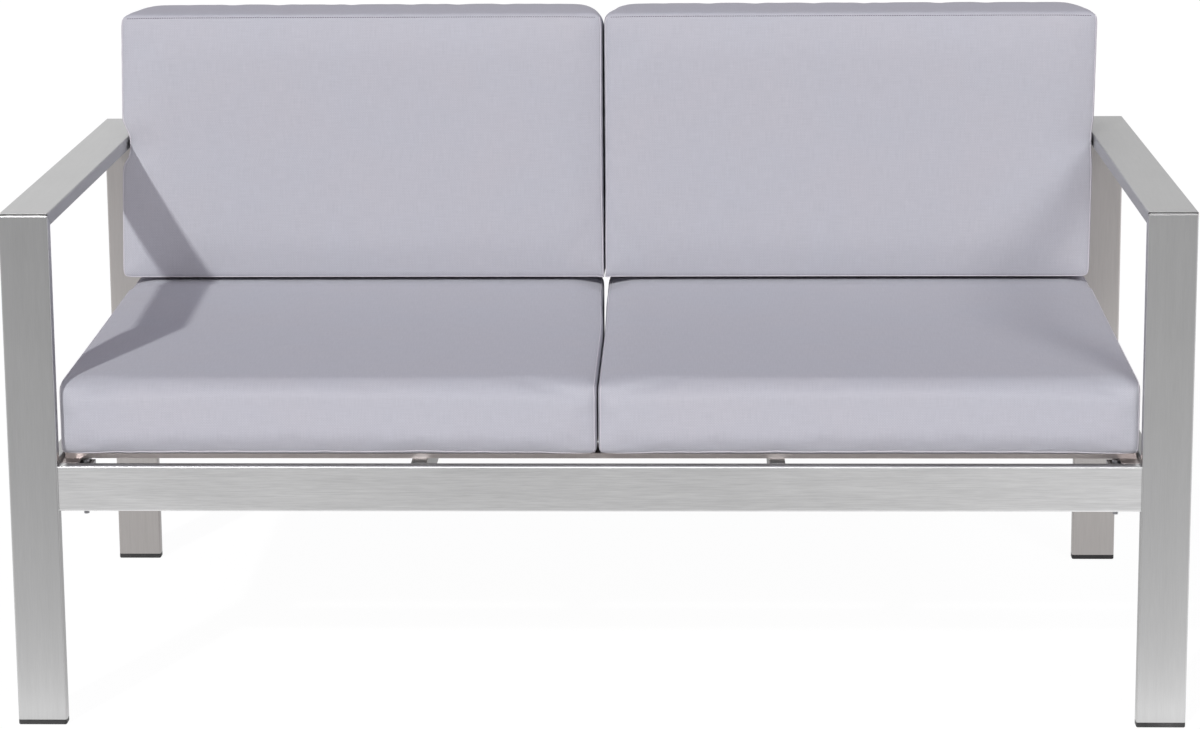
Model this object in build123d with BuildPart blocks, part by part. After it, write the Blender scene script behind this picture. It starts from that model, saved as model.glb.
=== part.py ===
from build123d import *
import os

# Garden sofa of flat rectangular tube with four loose cushions.
# Millimetres. The origin is on the ground, at mid width and mid depth.
# +X is the viewer's right when facing the seat, +Y runs to the back, +Z is up.

# Driving dimensions of the whole sofa
overall_width = 1320.0
overall_depth = 700.0
arm_height = 590.0
seat_frame_top = 302.0

# Flat tube of the legs and the armrests
tube_face = 55.0
tube_depth = 16.0
tube_wall = 1.8
tube_corner = 2.0
tube_inner_corner = 0.4
leg_tip_round = 1.6
arm_tip_round = 0.3
mitre_gap = 0.9

# Plastic foot caps
foot_height = 6.0
foot_spigot = 18.0
foot_spigot_wall = 2.5
foot_chamfer = 1.0

# Front and rear seat rails
rail_height = 52.0
rail_depth = 16.0
rail_setback = 3.0

# Side rails, cross bars, and the ledges that carry the slats' ends
side_rail_depth = 16.0
bar_width = 18.0
bar_height = 40.0
bar_spacing = 402.0
ledge_width = 20.0
ledge_height = 18.0
ledge_plate = 2.0

# Blocks and brackets in the corners of the seat frame
corner_block_gap = 8.0
corner_block_width = 22.0
corner_block_drop = 6.0
bracket_plate = 3.0
bracket_length = 40.0
bracket_bolt_gap = 23.0
bracket_bolt_setback = 27.0

# Slats: shallow channels with their lips turned down or back
slat_width = 50.0
slat_height = 6.0
slat_skin = 1.8
slat_end_gap = 2.0
seat_slat_count = 8
front_slat_setback = 40.0
rear_slat_margin = 21.0
back_slat_count = 8
back_slat_margin = 34.0

# Back frame
upright_width = 40.0
back_rail_height = 40.0
back_frame_rise = 90.0
back_low_rail_rise = 90.0
end_cap_plate = 2.5
end_cap_spigot = 14.0

# Fasteners
screw_diameter = 4.0
screw_head = 8.0
screw_head_height = 1.6
screw_length = 14.0
bolt_diameter = 6.0
bolt_head = 10.5
bolt_head_height = 3.3
bolt_hole_clearance = 0.2
bolt_socket = 4.0
bolt_socket_depth = 2.0
bolt_end = 4.0
side_bolt_diameter = 5.0
side_bolt_head = 8.6
side_bolt_head_height = 2.8
side_bolt_length = 22.0
access_clearance = 0.3
access_cap_depth = 4.0
nut_width = 10.0
nut_height = 8.0
washer_diameter = 12.0
washer_height = 1.6
nut_plate = 3.0
nut_plate_margin = 18.0
thread_gap = 0.05

# Connectors inside the tubes
connector_reach = 46.0
plug_length = 32.0
inner_fit = 0.15

# Cushions
cushion_clearance = 1.0
seat_cushion_height = 104.0
seat_cushion_setback = 12.0
seat_cushion_rear_margin = 88.0
back_cushion_height = 334.0
back_cushion_thickness = 150.0
cushion_corner = 20.0
cushion_draw_in = 5.0
cover_thickness = 1.5
foam_clearance = 0.3
soft_gap = 0.4

# Each section of a cushion: its share of the thickness, counted from the face that rests,
# and by how many shares of the edge roll its outline is smaller than the full one.
edge_roll = 24.0
seat_section_shares = (
    (0.0, 0.5),
    (0.09, 0.1),
    (0.4, 0.0),
    (0.77, 0.06),
    (0.87, 0.4),
    (0.93, 1.2),
    (0.97, 2.6),
    (1.0, 5.2),
)
back_section_shares = (
    (0.0, 0.5),
    (0.07, 0.1),
    (0.4, 0.0),
    (0.84, 0.05),
    (0.9, 0.4),
    (0.95, 1.5),
    (0.98, 3.0),
    (1.0, 5.0),
)

# Share of its radius at which the middle of a quarter round stands
corner_middle_share = 0.5**0.5

# Overrun of every cut
overrun = 1.0

# Places that follow from the sizes above
leg_inner_x = overall_width / 2 - tube_face
leg_centre_x = overall_width / 2 - tube_face / 2
front_y = -overall_depth / 2
rear_y = overall_depth / 2
front_rail_y = front_y + rail_setback + rail_depth / 2
rear_rail_y = rear_y - rail_setback - rail_depth / 2
rail_z = seat_frame_top - rail_height / 2
deck_front_y = front_rail_y + rail_depth / 2
deck_rear_y = rear_rail_y - rail_depth / 2
deck_length = deck_rear_y - deck_front_y
frame_bottom = seat_frame_top - rail_height
seat_slat_top = seat_frame_top + slat_height
back_frame_top = arm_height + back_frame_rise
back_low_rail_base = seat_frame_top + back_low_rail_rise
back_slat_front_y = deck_rear_y - slat_height

made = {}


def keep(part, name):
    """Label a finished piece and remember it under its node name."""
    part.label = name
    made[name] = part


def tube_outline(width, depth):
    """Rectangular tube section with rounded edges, in the current sketch."""
    RectangleRounded(width, depth, tube_corner)
    RectangleRounded(
        width - 2 * tube_wall, depth - 2 * tube_wall, tube_inner_corner, mode=Mode.SUBTRACT
    )


# Side frames: legs mitred into the armrests

leg_base = foot_height
leg_length = arm_height - leg_base


def leg(name, side, outer_y, inwards):
    """A leg standing on its foot cap; inwards is +1 on a front leg and -1 on a rear leg."""
    centre_y = outer_y + inwards * tube_depth / 2
    section_plane = Plane.XY.offset(leg_base).shift_origin(
        (side * leg_centre_x, centre_y, leg_base)
    )
    side_plane = Plane(
        origin=(side * leg_centre_x, outer_y, leg_base), x_dir=(0, 0, 1), z_dir=(-inwards, 0, 0)
    )
    with BuildPart() as post:
        with BuildSketch(section_plane):
            tube_outline(tube_face, tube_depth)
        extrude(amount=leg_length)
        with BuildSketch(side_plane):
            with BuildLine():
                Polyline(
                    (0, 0),
                    (leg_length, 0),
                    (leg_length - tube_depth, tube_depth),
                    (0, tube_depth),
                    close=True,
                )
            make_face()
            fillet(vertices().sort_by(Axis.X)[-1], leg_tip_round)
        extrude(amount=tube_face, both=True, mode=Mode.INTERSECT)
        for height in bolt_heights(inwards):
            for wall_x, radius in (
                (side * leg_inner_x, side_bolt_diameter / 2 + bolt_hole_clearance),
                (side * overall_width / 2, side_bolt_head / 2 + access_clearance),
            ):
                with BuildSketch(Plane.YZ.offset(wall_x)):
                    with Locations((bolt_y(inwards), height)):
                        Circle(radius)
                extrude(amount=tube_wall + overrun, both=True, mode=Mode.SUBTRACT)
    keep(post.part, name)


rail_bolt_spacing = rail_height / 2
upright_bolt_low = back_low_rail_base + back_rail_height / 2
upright_bolt_high = (upright_bolt_low + arm_height - tube_face) / 2


def bolt_y(inwards):
    """Depth of the bolts in a front (+1) or rear (-1) leg, between its middle and its rail's."""
    outer_y = front_y if inwards > 0 else rear_y
    return outer_y + inwards * (tube_depth + rail_setback) / 2


def bolt_heights(inwards):
    """Heights of the bolts through a leg: two into its rail, and on a rear leg two more."""
    heights = [rail_z - rail_bolt_spacing / 2, rail_z + rail_bolt_spacing / 2]
    if inwards < 0:
        heights += [upright_bolt_low, upright_bolt_high]
    return heights


def armrest(name, side):
    """An armrest, mitred at both ends, with its face up."""
    centre_z = arm_height - tube_depth / 2
    with BuildPart() as arm:
        with BuildSketch(
            Plane(origin=(side * leg_centre_x, front_y, centre_z), x_dir=(1, 0, 0), z_dir=(0, 1, 0))
        ):
            tube_outline(tube_face, tube_depth)
        extrude(amount=overall_depth)
        with BuildSketch(
            Plane(origin=(side * leg_centre_x, front_y, arm_height), x_dir=(0, 1, 0), z_dir=(1, 0, 0))
        ):
            with BuildLine():
                Polyline(
                    (mitre_gap, 0),
                    (overall_depth - mitre_gap, 0),
                    (overall_depth - mitre_gap - tube_depth, -tube_depth),
                    (mitre_gap + tube_depth, -tube_depth),
                    close=True,
                )
            make_face()
            fillet(vertices().group_by(Axis.Y)[-1], arm_tip_round)
        extrude(amount=tube_face, both=True, mode=Mode.INTERSECT)
    keep(arm.part, name)


def foot_cap(name, side, centre_y):
    """A plastic cap: a plate as large as the tube and a hollow spigot inside it."""
    spigot_width = tube_face - 2 * tube_wall - 2 * inner_fit
    spigot_depth = tube_depth - 2 * tube_wall - 2 * inner_fit
    floor = Plane.XY.shift_origin((side * leg_centre_x, centre_y, 0))
    with BuildPart() as cap:
        with BuildSketch(floor):
            RectangleRounded(tube_face, tube_depth, tube_corner)
        extrude(amount=foot_height)
        chamfer(edges().group_by(Axis.Z)[0], foot_chamfer)
        with BuildSketch(floor.offset(foot_height)):
            RectangleRounded(spigot_width, spigot_depth, tube_inner_corner)
            Rectangle(
                spigot_width - 2 * foot_spigot_wall,
                spigot_depth - 2 * foot_spigot_wall,
                mode=Mode.SUBTRACT,
            )
        extrude(amount=foot_spigot)
    keep(cap.part, name)


def corner_connectors():
    """Angle pieces inside the four mitred corners, in one group."""
    width = tube_face - 2 * tube_wall - 2 * inner_fit
    gap = tube_wall + inner_fit
    depth = tube_depth - 2 * gap
    with BuildPart() as angles:
        for side in (-1, 1):
            for outer_y, inwards in ((front_y, 1), (rear_y, -1)):
                with BuildSketch(
                    Plane(
                        origin=(side * leg_centre_x, outer_y, arm_height),
                        x_dir=(0, inwards, 0),
                        z_dir=(inwards, 0, 0),
                    )
                ):
                    with BuildLine():
                        Polyline(
                            (gap, -gap),
                            (gap + connector_reach, -gap),
                            (gap + connector_reach, -gap - depth),
                            (gap + depth, -gap - depth),
                            (gap + depth, -gap - connector_reach),
                            (gap, -gap - connector_reach),
                            close=True,
                        )
                    make_face()
                extrude(amount=width / 2, both=True)
    keep(angles.part, "corner_connectors")


for side_name, side in (("left", -1), ("right", 1)):
    leg(side_name + "_front_leg", side, front_y, 1)
    leg(side_name + "_rear_leg", side, rear_y, -1)
    armrest(side_name + "_armrest", side)
    foot_cap(side_name + "_front_foot_cap", side, front_y + tube_depth / 2)
    foot_cap(side_name + "_rear_foot_cap", side, rear_y - tube_depth / 2)
corner_connectors()

# Seat frame between the side frames

slat_front = front_y + front_slat_setback
slat_rear = deck_rear_y - rear_slat_margin
seat_slat_pitch = (slat_rear - slat_front - slat_width) / (seat_slat_count - 1)
seat_slat_y = [slat_front + slat_width / 2 + number * seat_slat_pitch for number in range(seat_slat_count)]
seat_slat_end = leg_inner_x - slat_end_gap
ledge_screw_x = leg_inner_x - ledge_width / 2
seat_screw_x = (-ledge_screw_x, -bar_spacing / 2, bar_spacing / 2, ledge_screw_x)


def tube_along_x(name, width, height, depth, centre_y, centre_z, screw_x, screw_z):
    """A rectangular tube from left to right, bored in front where slat screws enter."""
    with BuildPart() as tube:
        with BuildSketch(
            Plane(origin=(-width / 2, centre_y, centre_z), x_dir=(0, 1, 0), z_dir=(1, 0, 0))
        ):
            tube_outline(depth, height)
        extrude(amount=width)
        for place_x in screw_x:
            with BuildSketch(Plane.XZ.offset(depth / 2 - centre_y)):
                with Locations((place_x, screw_z)):
                    Circle(screw_diameter / 2 + thread_gap)
            extrude(amount=tube_wall + overrun, both=True, mode=Mode.SUBTRACT)
    keep(tube.part, name)


def tube_along_y(name, width, height, centre_x, top_z, start_y, length, screw_y):
    """A tube from front to back, bored on top where slat screws enter."""
    with BuildPart() as tube:
        with BuildSketch(
            Plane(origin=(centre_x, start_y, top_z - height / 2), x_dir=(1, 0, 0), z_dir=(0, -1, 0))
        ):
            tube_outline(width, height)
        extrude(amount=-length)
        for place_y in screw_y:
            with BuildSketch(Plane.XY.offset(top_z)):
                with Locations((centre_x, place_y)):
                    Circle(screw_diameter / 2 + thread_gap)
            extrude(amount=tube_wall + overrun, both=True, mode=Mode.SUBTRACT)
    keep(tube.part, name)


tube_along_x("front_seat_rail", 2 * leg_inner_x, rail_height, rail_depth, front_rail_y, rail_z, (), ())
tube_along_x("rear_seat_rail", 2 * leg_inner_x, rail_height, rail_depth, rear_rail_y, rail_z, (), ())
for side_name, side in (("left", -1), ("right", 1)):
    tube_along_y(
        side_name + "_side_rail",
        side_rail_depth,
        rail_height,
        side * (leg_inner_x + side_rail_depth / 2),
        seat_slat_top,
        front_y + tube_depth,
        overall_depth - 2 * tube_depth,
        (),
    )
    tube_along_y(
        side_name + "_cross_bar",
        bar_width,
        bar_height,
        side * bar_spacing / 2,
        seat_frame_top,
        deck_front_y,
        deck_length,
        seat_slat_y,
    )

for side_name, side in (("left", -1), ("right", 1)):
    with BuildPart() as ledge:
        with BuildSketch(
            Plane(
                origin=(side * leg_inner_x, deck_front_y, seat_frame_top),
                x_dir=(-side, 0, 0),
                z_dir=(0, side, 0),
            )
        ):
            with BuildLine():
                Polyline(
                    (0, 0),
                    (ledge_width, 0),
                    (ledge_width, -ledge_plate),
                    (ledge_plate, -ledge_plate),
                    (ledge_plate, -ledge_height),
                    (0, -ledge_height),
                    close=True,
                )
            make_face()
        extrude(amount=side * deck_length)
        with BuildSketch(Plane.XY.offset(seat_frame_top)):
            with Locations(*[(side * ledge_screw_x, place_y) for place_y in seat_slat_y]):
                Circle(screw_diameter / 2 + thread_gap)
        extrude(amount=ledge_plate + overrun, both=True, mode=Mode.SUBTRACT)
    keep(ledge.part, side_name + "_slat_ledge")

# Corners of the seat frame: an angle bracket on the rail, with a block bolted down on its foot

block_inner = corner_block_gap + corner_block_width
block_x = leg_inner_x - corner_block_gap - corner_block_width / 2
block_top = seat_frame_top - corner_block_drop
seat_corners = [
    (side, face_y, inwards) for side in (-1, 1) for face_y, inwards in ((deck_front_y, 1), (deck_rear_y, -1))
]
bracket_bolt_places = [
    (side * (leg_inner_x - bracket_bolt_gap), face_y + inwards * bracket_bolt_setback)
    for side, face_y, inwards in seat_corners
]

with BuildPart() as brackets:
    for side, face_y, inwards in seat_corners:
        with BuildSketch(
            Plane(
                origin=(side * leg_inner_x, face_y, frame_bottom), x_dir=(-side, 0, 0), z_dir=(0, side, 0)
            )
        ):
            with BuildLine():
                Polyline(
                    (0, 0),
                    (block_inner + bracket_plate, 0),
                    (block_inner + bracket_plate, block_top - frame_bottom),
                    (block_inner, block_top - frame_bottom),
                    (block_inner, bracket_plate),
                    (0, bracket_plate),
                    close=True,
                )
            make_face()
        extrude(amount=side * inwards * bracket_length)
    with BuildSketch(Plane.XY.offset(frame_bottom)):
        with Locations(*bracket_bolt_places):
            Circle(bolt_diameter / 2 + bolt_hole_clearance)
    extrude(amount=bracket_plate, both=True, mode=Mode.SUBTRACT)
keep(brackets.part, "seat_brackets")

with BuildPart() as corner_blocks:
    for side, face_y, inwards in seat_corners:
        with BuildSketch(Plane.XY.offset(frame_bottom + bracket_plate)):
            with Locations((side * block_x, face_y + inwards * bracket_length / 2)):
                Rectangle(corner_block_width, bracket_length)
        extrude(amount=block_top - frame_bottom - bracket_plate)
    with BuildSketch(Plane.XY.offset(block_top)):
        with Locations(*bracket_bolt_places):
            Circle(bolt_diameter / 2 + bolt_hole_clearance)
    extrude(amount=-rail_height, mode=Mode.SUBTRACT)
keep(corner_blocks.part, "corner_blocks")

# Slats


def channel_outline(width):
    """Shallow channel: a skin with two lips, the open side down, in the current sketch."""
    with Locations((0, slat_height / 2)):
        Rectangle(width, slat_height)
    with Locations((0, (slat_height - slat_skin) / 2)):
        Rectangle(width - 2 * slat_skin, slat_height - slat_skin, mode=Mode.SUBTRACT)


for number, slat_y in enumerate(seat_slat_y, 1):
    with BuildPart() as seat_slat:
        with BuildSketch(
            Plane(origin=(-seat_slat_end, slat_y, seat_frame_top), x_dir=(0, 1, 0), z_dir=(1, 0, 0))
        ):
            channel_outline(slat_width)
        extrude(amount=2 * seat_slat_end)
        with Locations(Plane.XY.offset(seat_slat_top)):
            with Locations(*[(screw_x, slat_y) for screw_x in seat_screw_x]):
                CounterSinkHole(
                    screw_diameter / 2 + bolt_hole_clearance,
                    screw_head / 2 + bolt_hole_clearance,
                    slat_skin * 2,
                )
    keep(seat_slat.part, "seat_slat_" + str(number))

# Back frame, behind the back cushions

upright_x = leg_inner_x - upright_width / 2
top_rail_base = back_frame_top - back_rail_height
upright_length = top_rail_base - seat_frame_top

back_slat_span = 2 * leg_inner_x - 2 * upright_width - 2 * back_slat_margin - slat_width
back_slat_pitch = back_slat_span / (back_slat_count - 1)
back_slat_x = [-back_slat_span / 2 + number * back_slat_pitch for number in range(back_slat_count)]
back_slat_length = back_frame_top - back_low_rail_base
back_low_z = back_low_rail_base + back_rail_height / 2
back_top_z = top_rail_base + back_rail_height / 2
back_screw_z = (back_low_z, back_top_z)

for side_name, side in (("left", -1), ("right", 1)):
    with BuildPart() as upright:
        with BuildSketch(
            Plane.XY.offset(seat_frame_top).shift_origin((side * upright_x, rear_rail_y, seat_frame_top))
        ):
            tube_outline(upright_width, rail_depth)
        extrude(amount=upright_length)
        for bolt_z in (upright_bolt_low, upright_bolt_high):
            with BuildSketch(Plane.YZ.offset(side * leg_inner_x)):
                with Locations((bolt_y(-1), bolt_z)):
                    Circle(side_bolt_diameter / 2 + bolt_hole_clearance)
            extrude(amount=tube_wall + overrun, both=True, mode=Mode.SUBTRACT)
    keep(upright.part, side_name + "_back_upright")

tube_along_x(
    "back_top_rail",
    2 * leg_inner_x - 2 * end_cap_plate,
    back_rail_height,
    rail_depth,
    rear_rail_y,
    back_top_z,
    back_slat_x,
    back_top_z,
)
tube_along_x(
    "back_low_rail",
    2 * leg_inner_x - 2 * upright_width,
    back_rail_height,
    rail_depth,
    rear_rail_y,
    back_low_z,
    back_slat_x,
    back_low_z,
)

for number, slat_x in enumerate(back_slat_x, 1):
    with BuildPart() as back_slat:
        with BuildSketch(
            Plane(origin=(slat_x, deck_rear_y, back_low_rail_base), x_dir=(-1, 0, 0), z_dir=(0, 0, 1))
        ):
            channel_outline(slat_width)
        extrude(amount=back_slat_length)
        with Locations(Plane(origin=(slat_x, back_slat_front_y, 0), x_dir=(1, 0, 0), z_dir=(0, -1, 0))):
            with Locations(*[(0, screw_z) for screw_z in back_screw_z]):
                CounterSinkHole(
                    screw_diameter / 2 + bolt_hole_clearance,
                    screw_head / 2 + bolt_hole_clearance,
                    slat_skin * 2,
                )
    keep(back_slat.part, "back_slat_" + str(number))

for side_name, side in (("left", -1), ("right", 1)):
    with BuildPart() as end_cap:
        cap_plane = Plane(
            origin=(side * (leg_inner_x - end_cap_plate), rear_rail_y, top_rail_base + back_rail_height / 2),
            x_dir=(0, 1, 0),
            z_dir=(side, 0, 0),
        )
        with BuildSketch(cap_plane):
            RectangleRounded(rail_depth, back_rail_height, tube_corner)
        extrude(amount=end_cap_plate)
        with BuildSketch(cap_plane):
            RectangleRounded(
                rail_depth - 2 * tube_wall - 2 * inner_fit,
                back_rail_height - 2 * tube_wall - 2 * inner_fit,
                tube_inner_corner,
            )
        extrude(amount=-end_cap_spigot)
    keep(end_cap.part, side_name + "_back_rail_cap")

# Fasteners


def screw_group(name, head_planes):
    """Countersunk screws, one at each plane; the head's top is on the plane."""
    with BuildPart() as screws:
        for head_plane in head_planes:
            with BuildSketch(head_plane.offset(-screw_head_height)):
                Circle(screw_diameter / 2)
            with BuildSketch(head_plane):
                Circle(screw_head / 2)
            loft()
            with BuildSketch(head_plane.offset(-screw_head_height)):
                Circle(screw_diameter / 2)
            extrude(amount=screw_head_height - screw_length)
    keep(screws.part, name)


screw_group(
    "seat_slat_screws",
    [
        Plane(origin=(screw_x, slat_y, seat_slat_top))
        for slat_y in seat_slat_y
        for screw_x in seat_screw_x
    ],
)
screw_group(
    "back_slat_screws",
    [
        Plane(origin=(slat_x, back_slat_front_y, screw_z), x_dir=(1, 0, 0), z_dir=(0, -1, 0))
        for slat_x in back_slat_x
        for screw_z in back_screw_z
    ],
)

# Side bolts sit inside the legs, with their heads on the inner wall

side_bolt_places = [
    (side, inwards, height) for side in (-1, 1) for inwards in (1, -1) for height in bolt_heights(inwards)
]


def leg_plane(side, inwards, height, wall_x):
    """A plane that faces out of a leg, at one of its bolts."""
    return Plane(origin=(side * wall_x, bolt_y(inwards), height), x_dir=(0, 1, 0), z_dir=(side, 0, 0))


with BuildPart() as side_bolts:
    for side, inwards, height in side_bolt_places:
        seat = leg_plane(side, inwards, height, leg_inner_x + tube_wall)
        with BuildSketch(seat):
            Circle(side_bolt_head / 2)
        extrude(amount=side_bolt_head_height)
        with BuildSketch(seat.offset(side_bolt_head_height)):
            RegularPolygon(bolt_socket / 2, 6)
        extrude(amount=-bolt_socket_depth, mode=Mode.SUBTRACT)
        with BuildSketch(seat):
            Circle(side_bolt_diameter / 2)
        extrude(amount=-side_bolt_length)
keep(side_bolts.part, "side_bolts")

with BuildPart() as access_caps:
    for side, inwards, height in side_bolt_places:
        face = leg_plane(side, inwards, height, overall_width / 2)
        with BuildSketch(face):
            Circle(side_bolt_head / 2 + access_clearance - inner_fit)
        extrude(amount=-access_cap_depth)
keep(access_caps.part, "access_hole_caps")

with BuildPart() as rail_plugs:
    for side in (-1, 1):
        for inwards, centre_y in ((1, front_rail_y), (-1, rear_rail_y)):
            with BuildSketch(
                Plane(origin=(side * leg_inner_x, centre_y, rail_z), x_dir=(0, 1, 0), z_dir=(-side, 0, 0))
            ):
                RectangleRounded(
                    rail_depth - 2 * tube_wall - 2 * inner_fit,
                    rail_height - 2 * tube_wall - 2 * inner_fit,
                    tube_inner_corner,
                )
                with Locations((bolt_y(inwards) - centre_y, 0)):
                    with GridLocations(0, rail_bolt_spacing, 1, 2):
                        Circle(side_bolt_diameter / 2 + thread_gap, mode=Mode.SUBTRACT)
            extrude(amount=plug_length)
keep(rail_plugs.part, "rail_end_plugs")

with BuildPart() as nut_plates:
    plate_length = upright_bolt_high - upright_bolt_low + 2 * nut_plate_margin
    plate_z = (upright_bolt_low + upright_bolt_high) / 2
    plate_x = leg_inner_x - tube_wall - inner_fit
    for side in (-1, 1):
        with BuildSketch(
            Plane(origin=(side * plate_x, rear_rail_y, plate_z), x_dir=(0, 1, 0), z_dir=(-side, 0, 0))
        ):
            Rectangle(rail_depth - 2 * tube_wall - 2 * inner_fit, plate_length)
            with Locations((bolt_y(-1) - rear_rail_y, 0)):
                with GridLocations(0, upright_bolt_high - upright_bolt_low, 1, 2):
                    Circle(side_bolt_diameter / 2 + thread_gap, mode=Mode.SUBTRACT)
        extrude(amount=nut_plate)
keep(nut_plates.part, "upright_nut_plates")

# Bolts down through the corner blocks and the brackets under them

bracket_bolt_length = block_top - frame_bottom + washer_height + nut_height + bolt_end

with BuildPart() as bracket_bolts:
    for place in bracket_bolt_places:
        with BuildSketch(Plane.XY.offset(block_top)):
            with Locations(place):
                Circle(bolt_head / 2)
        extrude(amount=bolt_head_height)
        with BuildSketch(Plane.XY.offset(block_top + bolt_head_height)):
            with Locations(place):
                RegularPolygon(bolt_socket / 2, 6)
        extrude(amount=-bolt_socket_depth, mode=Mode.SUBTRACT)
        with BuildSketch(Plane.XY.offset(block_top)):
            with Locations(place):
                Circle(bolt_diameter / 2)
        extrude(amount=-bracket_bolt_length)
keep(bracket_bolts.part, "seat_bracket_bolts")

with BuildPart() as washers:
    with BuildSketch(Plane.XY.offset(frame_bottom)):
        with Locations(*bracket_bolt_places):
            Circle(washer_diameter / 2)
            Circle(bolt_diameter / 2 + bolt_hole_clearance, mode=Mode.SUBTRACT)
    extrude(amount=-washer_height)
keep(washers.part, "seat_bracket_washers")

with BuildPart() as nuts:
    with BuildSketch(Plane.XY.offset(frame_bottom - washer_height)):
        with Locations(*bracket_bolt_places):
            RegularPolygon(nut_width / 2, 6, major_radius=False)
            Circle(bolt_diameter / 2 + thread_gap, mode=Mode.SUBTRACT)
    extrude(amount=-nut_height)
keep(nuts.part, "seat_bracket_nuts")

# Cushions: crowned, with sides that draw in between the corners


def cushion_outline(width, height, inset, draw_in):
    """Outline of a cushion's section: four shallow arcs between rounded corners."""
    x, y = width / 2 - inset, height / 2 - inset
    corner = cushion_corner
    near = corner - corner * corner_middle_share
    with BuildLine() as outline:
        for turn_x, turn_y in ((1, 1), (-1, -1)):
            ThreePointArc(
                (-turn_x * (x - corner), -turn_y * y),
                (0, -turn_y * (y - draw_in)),
                (turn_x * (x - corner), -turn_y * y),
            )
            ThreePointArc(
                (turn_x * (x - corner), -turn_y * y),
                (turn_x * (x - near), -turn_y * (y - near)),
                (turn_x * x, -turn_y * (y - corner)),
            )
            ThreePointArc(
                (turn_x * x, -turn_y * (y - corner)),
                (turn_x * (x - draw_in), 0),
                (turn_x * x, turn_y * (y - corner)),
            )
            ThreePointArc(
                (turn_x * x, turn_y * (y - corner)),
                (turn_x * (x - near), turn_y * (y - near)),
                (turn_x * (x - corner), turn_y * y),
            )
    make_face(outline.edges())


def cushion(name, base, width, height, thickness, section_shares):
    """A foam core in a sewn cover; base is the plane of the face that rests."""
    sections = [(rise * thickness, inset * edge_roll) for rise, inset in section_shares]
    with BuildPart() as core:
        for rise, inset in sections:
            foam_rise = cover_gap + rise / thickness * (thickness - 2 * cover_gap)
            with BuildSketch(base.offset(foam_rise)):
                cushion_outline(width - 2 * cover_gap, height - 2 * cover_gap, inset, cushion_draw_in)
        loft(ruled=True)
    keep(core.part, name + "_foam")
    with BuildPart() as cover:
        for rise, inset in sections:
            with BuildSketch(base.offset(rise)):
                cushion_outline(width, height, inset, cushion_draw_in)
        loft(ruled=True)
        for rise, inset in sections:
            lining_rise = cover_thickness + rise / thickness * (thickness - 2 * cover_thickness)
            with BuildSketch(base.offset(lining_rise)):
                cushion_outline(
                    width - 2 * cover_thickness, height - 2 * cover_thickness, inset, cushion_draw_in
                )
        loft(ruled=True, mode=Mode.SUBTRACT)
    keep(cover.part, name + "_cover")


cover_gap = cover_thickness + foam_clearance
cushion_width = (2 * leg_inner_x - 3 * cushion_clearance) / 2
cushion_x = (cushion_width + cushion_clearance) / 2
seat_cushion_base = seat_slat_top + soft_gap
seat_cushion_depth = overall_depth - seat_cushion_setback - seat_cushion_rear_margin
seat_cushion_y = front_y + seat_cushion_setback + seat_cushion_depth / 2
back_cushion_rear = back_slat_front_y - soft_gap
back_cushion_base = seat_cushion_base + seat_cushion_height + cushion_clearance

for side_name, side in (("left", -1), ("right", 1)):
    cushion(
        side_name + "_seat_cushion",
        Plane(origin=(side * cushion_x, seat_cushion_y, seat_cushion_base)),
        cushion_width,
        seat_cushion_depth,
        seat_cushion_height,
        seat_section_shares,
    )
    cushion(
        side_name + "_back_cushion",
        Plane(
            origin=(side * cushion_x, back_cushion_rear, back_cushion_base + back_cushion_height / 2),
            x_dir=(1, 0, 0),
            z_dir=(0, -1, 0),
        ),
        cushion_width,
        back_cushion_height,
        back_cushion_thickness,
        back_section_shares,
    )

os.makedirs("parts", exist_ok=True)
for name, part in made.items():
    export_step(part, "parts/" + name + ".step")
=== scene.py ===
"""A garden sofa of flat brushed tube with four loose cushions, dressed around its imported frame.

The metal and plastic pieces come from the frame and get their finishes here. The cushions are
sewn here from panels and boxing, blown up by cloth simulation, and stitched along their seams.
"""

from __future__ import annotations

import logging
import math
from dataclasses import dataclass, field, replace
from enum import Enum

import bpy
from bpy.types import ID, Material, Mesh, Node, NodeSocket, NodeTree, Object, World
from mathutils import Matrix, Vector
from mathutils.bvhtree import BVHTree


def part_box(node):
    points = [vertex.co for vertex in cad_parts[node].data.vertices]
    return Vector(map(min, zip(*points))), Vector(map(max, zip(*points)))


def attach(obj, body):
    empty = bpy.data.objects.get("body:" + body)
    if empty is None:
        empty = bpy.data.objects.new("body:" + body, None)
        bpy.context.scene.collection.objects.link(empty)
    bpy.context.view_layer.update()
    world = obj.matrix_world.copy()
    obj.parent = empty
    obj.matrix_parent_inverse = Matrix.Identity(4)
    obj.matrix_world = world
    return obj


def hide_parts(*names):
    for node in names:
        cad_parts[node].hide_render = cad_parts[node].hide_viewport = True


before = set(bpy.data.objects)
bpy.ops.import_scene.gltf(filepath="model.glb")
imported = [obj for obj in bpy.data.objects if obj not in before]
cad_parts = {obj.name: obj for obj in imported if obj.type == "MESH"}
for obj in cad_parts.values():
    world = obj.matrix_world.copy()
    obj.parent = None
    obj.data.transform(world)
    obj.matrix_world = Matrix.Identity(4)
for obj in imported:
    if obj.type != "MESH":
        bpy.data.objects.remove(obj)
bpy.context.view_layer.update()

log = logging.getLogger("garden_sofa")

MM = 0.001
WHITE_STRENGTH = 1.0
WHITE = (1.0, 1.0, 1.0, 1.0)
ROUND_SIDES = 6
# Height above a seat cushion's bottom up to which the cloth gets painted shade, for the shade under the
# cushion.
PAINTED_SHADE_REACH = 1.6 * MM

Corners = tuple[float, float, float, float]
Range = tuple[float, float]
Colour = tuple[float, float, float]


class Grain(Enum):
    """The direction in which a metal face was brushed."""

    UPRIGHT = (1.0, 1.0, 0.0)
    CROSSWISE = (0.0, 1.0, 1.0)
    LENGTHWISE = (1.0, 0.0, 1.0)


# Building shader and geometry trees


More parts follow.
